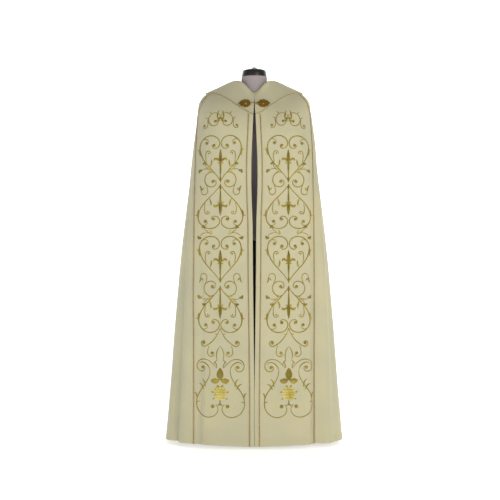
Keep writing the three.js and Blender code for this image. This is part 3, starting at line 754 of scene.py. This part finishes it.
CAP_FOOT, CAP_RADIUS = 1533.3, 53
CAP_PROFILE = [  # radius and height above the foot
    (0.1, 0), (52, 0), (CAP_RADIUS, 1), (CAP_RADIUS, 3), (51.8, 12), (50.4, 22), (48.5, 26), (45, 28.4),
    (36, 29.8), (24, 31.2), (17, 33.5), (12.5, 37), (9, 39.5), (5, 41.6), (2, 42.4), (0.1, 42.7),
]
turn = np.linspace(0, 2 * np.pi, FORM_SIDES, endpoint=False)
cap_rings = np.array([
    np.stack([r * np.cos(turn), r * np.sin(turn), np.full_like(turn, CAP_FOOT + z)],
             -1) for r, z in CAP_PROFILE
])
cap = closed_rings("neck_cap_turned", cap_rings)
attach(cap, "root")
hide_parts("neck_cap")
print("the form has", len(form.data.polygons), "faces and the cap", len(cap.data.polygons))

# %% [markdown]
# ## Materials
# Each material starts from the real stuff. One function turns the usual sRGB hex colours to the
# linear values that the shader adds up, and one adds a node with its settings and links.

# %% Colour and node helpers
def linear(hex_colour):
    parts = [int(hex_colour[i : i + 2], 16) / 255 for i in (1, 3, 5)]
    return [c / 12.92 if c <= 0.04045 else ((c + 0.055) / 1.055) ** 2.4 for c in parts] + [1.0]


def add_node(material, kind, links=None, **settings):
    """Adds a node. settings that name a socket set it, others set the node; links go socket: output."""
    node = material.node_tree.nodes.new(kind)
    for key, value in settings.items():
        name = key.replace("_", " ")
        socket = next((s for s in node.inputs if s.name.lower() == name.lower()), None)
        if hasattr(node, key):
            setattr(node, key, value)
        else:
            socket.default_value = value
    for socket, output in (links or {}).items():
        material.node_tree.links.new(output, node.inputs[socket])
    return node


def new_material(name, **surface):
    material = bpy.data.materials.new(name)
    material.use_nodes = True
    shader = material.node_tree.nodes["Principled BSDF"]
    for socket, value in surface.items():
        shader.inputs[socket.replace("_", " ")].default_value = value
    return material, shader


def colour_steps(ramp, *steps):
    """Gives a colour ramp its steps, each a place from 0 to 1 and a hex colour."""
    elements = ramp.color_ramp.elements
    for index, (place, colour) in enumerate(steps):
        element = elements[index] if index < len(elements) else elements.new(place)
        element.position = place
        element.color = linear(colour)


# %% [markdown]
# ### Ivory wool-blend cloth
# The cloak is taken to be a firm wool and polyester blend, woven plain, with a soft matt face. Such
# threads are about 0.6 mm, too fine to show, so the weave is drawn at 1.6 mm. Broad patches of
# slightly warmer ivory and thin slubs break the surface up, as in real yarn.

# %% Ivory cloth
WEAVE_MM = 1.6
MIX_A, MIX_B, MIX_OUT = 6, 7, 2  # a Mix node's colour sockets


def cope_cloth():
    material, shader = new_material("ivory wool-blend cloth", Roughness=0.78, IOR=1.5, Sheen_Weight=0.25,
                                    Sheen_Roughness=0.4)
    place = add_node(material, "ShaderNodeTexCoord").outputs["Object"]
    stretch = add_node(material, "ShaderNodeMapping", {"Vector": place}, Scale=(1, 1, 0.12))
    patches = add_node(material, "ShaderNodeTexNoise", {"Vector": place}, Scale=7, Detail=4)
    slubs = add_node(material, "ShaderNodeTexNoise", {"Vector": stretch.outputs["Vector"]}, Scale=420,
                     Detail=2)
    speckle = add_node(material, "ShaderNodeTexNoise", {"Vector": place}, Scale=260, Detail=3)
    warm = add_node(material, "ShaderNodeValToRGB", {"Fac": patches.outputs["Fac"]})
    colour_steps(warm, (0.3, "#b9b79f"), (0.7, "#c3bea0"))
    fine = add_node(material, "ShaderNodeMix", {"Factor": speckle.outputs["Fac"]}, data_type="RGBA")
    fine.inputs[MIX_A].default_value = linear("#aeaa90")
    fine.inputs[MIX_B].default_value = linear("#d8d3b6")
    both = add_node(material, "ShaderNodeMix", data_type="RGBA", blend_type="OVERLAY")
    both.inputs[0].default_value = 0.22
    material.node_tree.links.new(warm.outputs["Color"], both.inputs[MIX_A])
    material.node_tree.links.new(fine.outputs[MIX_OUT], both.inputs[MIX_B])
    material.node_tree.links.new(both.outputs[MIX_OUT], shader.inputs["Base Color"])
    wave = 2 * math.pi / (WEAVE_MM * MM) / 20
    threads = [
        add_node(material, "ShaderNodeTexWave", {"Vector": place}, Scale=wave, Distortion=0.4,
                 bands_direction=direction).outputs["Fac"]
        for direction in ("X", "Z")
    ]
    weave = add_node(material, "ShaderNodeMath", {0: threads[0], 1: threads[1]}, operation="MULTIPLY")
    grain = add_node(material, "ShaderNodeMath", {0: weave.outputs[0], 1: slubs.outputs["Fac"]},
                     operation="ADD")
    bump = add_node(material, "ShaderNodeBump", {"Height": grain.outputs[0]}, Strength=0.28,
                    Distance=0.0005)
    material.node_tree.links.new(bump.outputs["Normal"], shader.inputs["Normal"])
    return material


# %% [markdown]
# ### Gold thread
# Embroidery gold is a metallised foil wound on a core: half metal, half cloth. Light runs across the
# stitches, so a bump follows the stitch map, whose first axis runs along each line of stitches. The
# threads are taken to be about 0.4 mm, and they are drawn at 0.9 mm so that they show.

# %% Gold embroidery thread and gold cord
THREAD_MM = 0.9


def gold_thread():
    material, shader = new_material("gold metallised embroidery thread", Roughness=0.42, IOR=1.5,
                                    Metallic=0.35,
                                    Sheen_Weight=0.1)
    tone = add_node(material, "ShaderNodeAttribute", attribute_name="tone")
    place = add_node(material, "ShaderNodeTexCoord").outputs["Object"]
    noise = add_node(material, "ShaderNodeTexNoise", {"Vector": place}, Scale=38, Detail=2)
    around = add_node(material, "ShaderNodeMath", {0: noise.outputs["Fac"]}, operation="MULTIPLY_ADD")
    around.inputs[1].default_value, around.inputs[2].default_value = 0.7, -0.35
    mixed = add_node(material, "ShaderNodeMath", {0: tone.outputs["Fac"], 1: around.outputs[0]},
                     operation="ADD")
    ramp = add_node(material, "ShaderNodeValToRGB", {"Fac": mixed.outputs[0]})
    colour_steps(ramp, (0.1, "#6e5f22"), (0.45, "#9a8830"), (0.75, "#b8a53c"), (1.0, "#d8cc7c"))
    material.node_tree.links.new(ramp.outputs["Color"], shader.inputs["Base Color"])
    stitch = add_node(material, "ShaderNodeUVMap", uv_map="stitch").outputs["UV"]
    threads = add_node(material, "ShaderNodeTexWave", {"Vector": stitch},
                       Scale=math.pi / 10 / (THREAD_MM * MM),
                       Distortion=0.6)
    bump = add_node(material, "ShaderNodeBump", {"Height": threads.outputs["Fac"]}, Strength=0.5,
                    Distance=0.0004)
    material.node_tree.links.new(bump.outputs["Normal"], shader.inputs["Normal"])
    return material


def gold_cord():
    material, shader = new_material("gold viscose cord", Roughness=0.5, IOR=1.5, Metallic=0.2,
                                    Sheen_Weight=0.2)
    place = add_node(material, "ShaderNodeTexCoord").outputs["Object"]
    noise = add_node(material, "ShaderNodeTexNoise", {"Vector": place}, Scale=90, Detail=3)
    ramp = add_node(material, "ShaderNodeValToRGB", {"Fac": noise.outputs["Fac"]})
    colour_steps(ramp, (0.3, "#94794a"), (0.7, "#b89b62"))
    material.node_tree.links.new(ramp.outputs["Color"], shader.inputs["Base Color"])
    fibre = add_node(material, "ShaderNodeTexNoise", {"Vector": place}, Scale=1500, Detail=2)
    bump = add_node(material, "ShaderNodeBump", {"Height": fibre.outputs["Fac"]}, Strength=0.4,
                    Distance=0.0003)
    material.node_tree.links.new(bump.outputs["Normal"], shader.inputs["Normal"])
    return material


# %% [markdown]
# ### Metals, jersey and lacquer
# The clasp is taken to be zinc plated with antique gold, and patchy, as worn plating is. The form is
# covered in grey cotton jersey, its neck ends in a satin black cap, and the stand is powder coated.

# %% The other materials
def speckled(name, low, high, scale, depth, **surface):
    """A material whose colour and bump come from one noise, scale being grains per metre."""
    material, shader = new_material(name, **surface)
    place = add_node(material, "ShaderNodeTexCoord").outputs["Object"]
    noise = add_node(material, "ShaderNodeTexNoise", {"Vector": place}, Scale=scale, Detail=4)
    ramp = add_node(material, "ShaderNodeValToRGB", {"Fac": noise.outputs["Fac"]})
    colour_steps(ramp, (0.32, low), (0.68, high))
    material.node_tree.links.new(ramp.outputs["Color"], shader.inputs["Base Color"])
    bump = add_node(material, "ShaderNodeBump", {"Height": noise.outputs["Fac"]}, Strength=0.4,
                    Distance=depth)
    material.node_tree.links.new(bump.outputs["Normal"], shader.inputs["Normal"])
    return material


brass = speckled("antique gold plated zinc", "#7a5a1e", "#c8a04a", 260, 0.0004, Metallic=1.0,
                 Roughness=0.32)
jersey = speckled("grey cotton jersey", "#968d90", "#a39a9d", 900, 0.0003, Roughness=0.9,
                  Sheen_Weight=0.3)
lacquer = speckled("satin black lacquer", "#0d0b0e", "#17151a", 120, 0.0001, Roughness=0.35,
                   Coat_Weight=0.3)
powder = speckled("black powder coat", "#141416", "#1e1e20", 700, 0.0002, Roughness=0.5)
cloth, thread, cord_gold = cope_cloth(), gold_thread(), gold_cord()
for piece in [*cloth_pieces.values(), collar]:
    piece.data.materials.append(cloth)
for piece in stitched:
    piece.data.materials.append(thread)
for piece in bpy.data.objects:
    if piece.name.endswith("_twist"):
        piece.data.materials.append(cord_gold)
form.data.materials.append(jersey)
cap.data.materials.append(lacquer)
KEPT = {"clasp_left": brass, "clasp_right": brass, "stand_pole": powder, "stand_base": powder}
for node, material in KEPT.items():
    for slot in frame["nodes"][node].material_slots:
        slot.material = material
print(len(bpy.data.materials), "materials")

# %% [markdown]
# ## Floor, light and camera
# A pale floor and large soft lamps show cloth well: a small lamp would make hard shadows in the
# folds. The key light comes from the right, so the right front is warmer and brighter than the left.
# The floor and the backdrop behind the form give off light themselves, so that both look white from
# the front while the lamps stay dim enough for the cloth. From behind, the grey world shows instead.

# %% Stage
FLOOR_SIZE, BACKDROP_BEHIND = 60, 14
bpy.ops.mesh.primitive_plane_add(size=FLOOR_SIZE, location=(0, 0, 0))
floor = bpy.context.object
floor.name = "floor"
floor_paint, floor_shader = new_material("pale studio floor", Roughness=0.9)
floor_shader.inputs["Base Color"].default_value = linear("#f2f2f0")
floor_shader.inputs["Emission Color"].default_value = linear("#ffffff")
floor_shader.inputs["Emission Strength"].default_value = 0.6
floor.data.materials.append(floor_paint)
upright = (math.pi / 2, 0, 0)
bpy.ops.mesh.primitive_plane_add(size=FLOOR_SIZE, location=(0, BACKDROP_BEHIND, 0), rotation=upright)
backdrop = bpy.context.object
backdrop.name = "backdrop"
backdrop_paint, backdrop_shader = new_material("lit white backdrop", Roughness=0.9)
backdrop_shader.inputs["Emission Color"].default_value = linear("#ffffff")
backdrop_shader.inputs["Emission Strength"].default_value = 1.0
backdrop.data.materials.append(backdrop_paint)
world = bpy.data.worlds.new("studio")
bpy.context.scene.world = world
world.use_nodes = True
world.node_tree.nodes["Background"].inputs["Color"].default_value = linear("#fafafa")
world.node_tree.nodes["Background"].inputs["Strength"].default_value = 0.3
bpy.context.scene.view_settings.view_transform = "Standard"

LAMPS = [  # place, size and power of each soft lamp, and its colour
    dict(name="key", place=(2.0, -4.0, 1.9), size=1.6, power=70, colour="#fff6e2"),
    dict(name="fill", place=(-2.2, -3.6, 1.4), size=2.2, power=18, colour="#f0f2ff"),
    dict(name="back", place=(0.4, 3.2, 2.8), size=2.0, power=25, colour="#ffffff"),
]
for lamp in LAMPS:
    light = bpy.data.lights.new(lamp["name"], "AREA")
    light.size = lamp["size"]
    light.energy = lamp["power"]
    light.color = linear(lamp["colour"])[:3]
    holder = bpy.data.objects.new(lamp["name"], light)
    bpy.context.scene.collection.objects.link(holder)
    holder.location = lamp["place"]
    aim = bpy.data.objects["floor"].location.copy()
    aim.z = 0.8
    holder.rotation_euler = (aim - holder.location).to_track_quat("-Z", "Y").to_euler()

VIEW_WIDTH, DISTANCE, SENSOR = 2.077, 4.5, 36.0
CAMERA_X, VIEW_PLANE_Y, CAMERA_HEIGHT = -0.018, -0.08, 0.8025
camera_data = bpy.data.cameras.new("camera")
camera_data.sensor_width = SENSOR
camera_data.lens = SENSOR * DISTANCE / VIEW_WIDTH
camera = bpy.data.objects.new("camera", camera_data)
bpy.context.scene.collection.objects.link(camera)
camera.location = (CAMERA_X, VIEW_PLANE_Y - DISTANCE, CAMERA_HEIGHT)
camera.rotation_euler = upright
bpy.context.scene.camera = camera
print("camera at", tuple(round(c, 3) for c in camera.location))
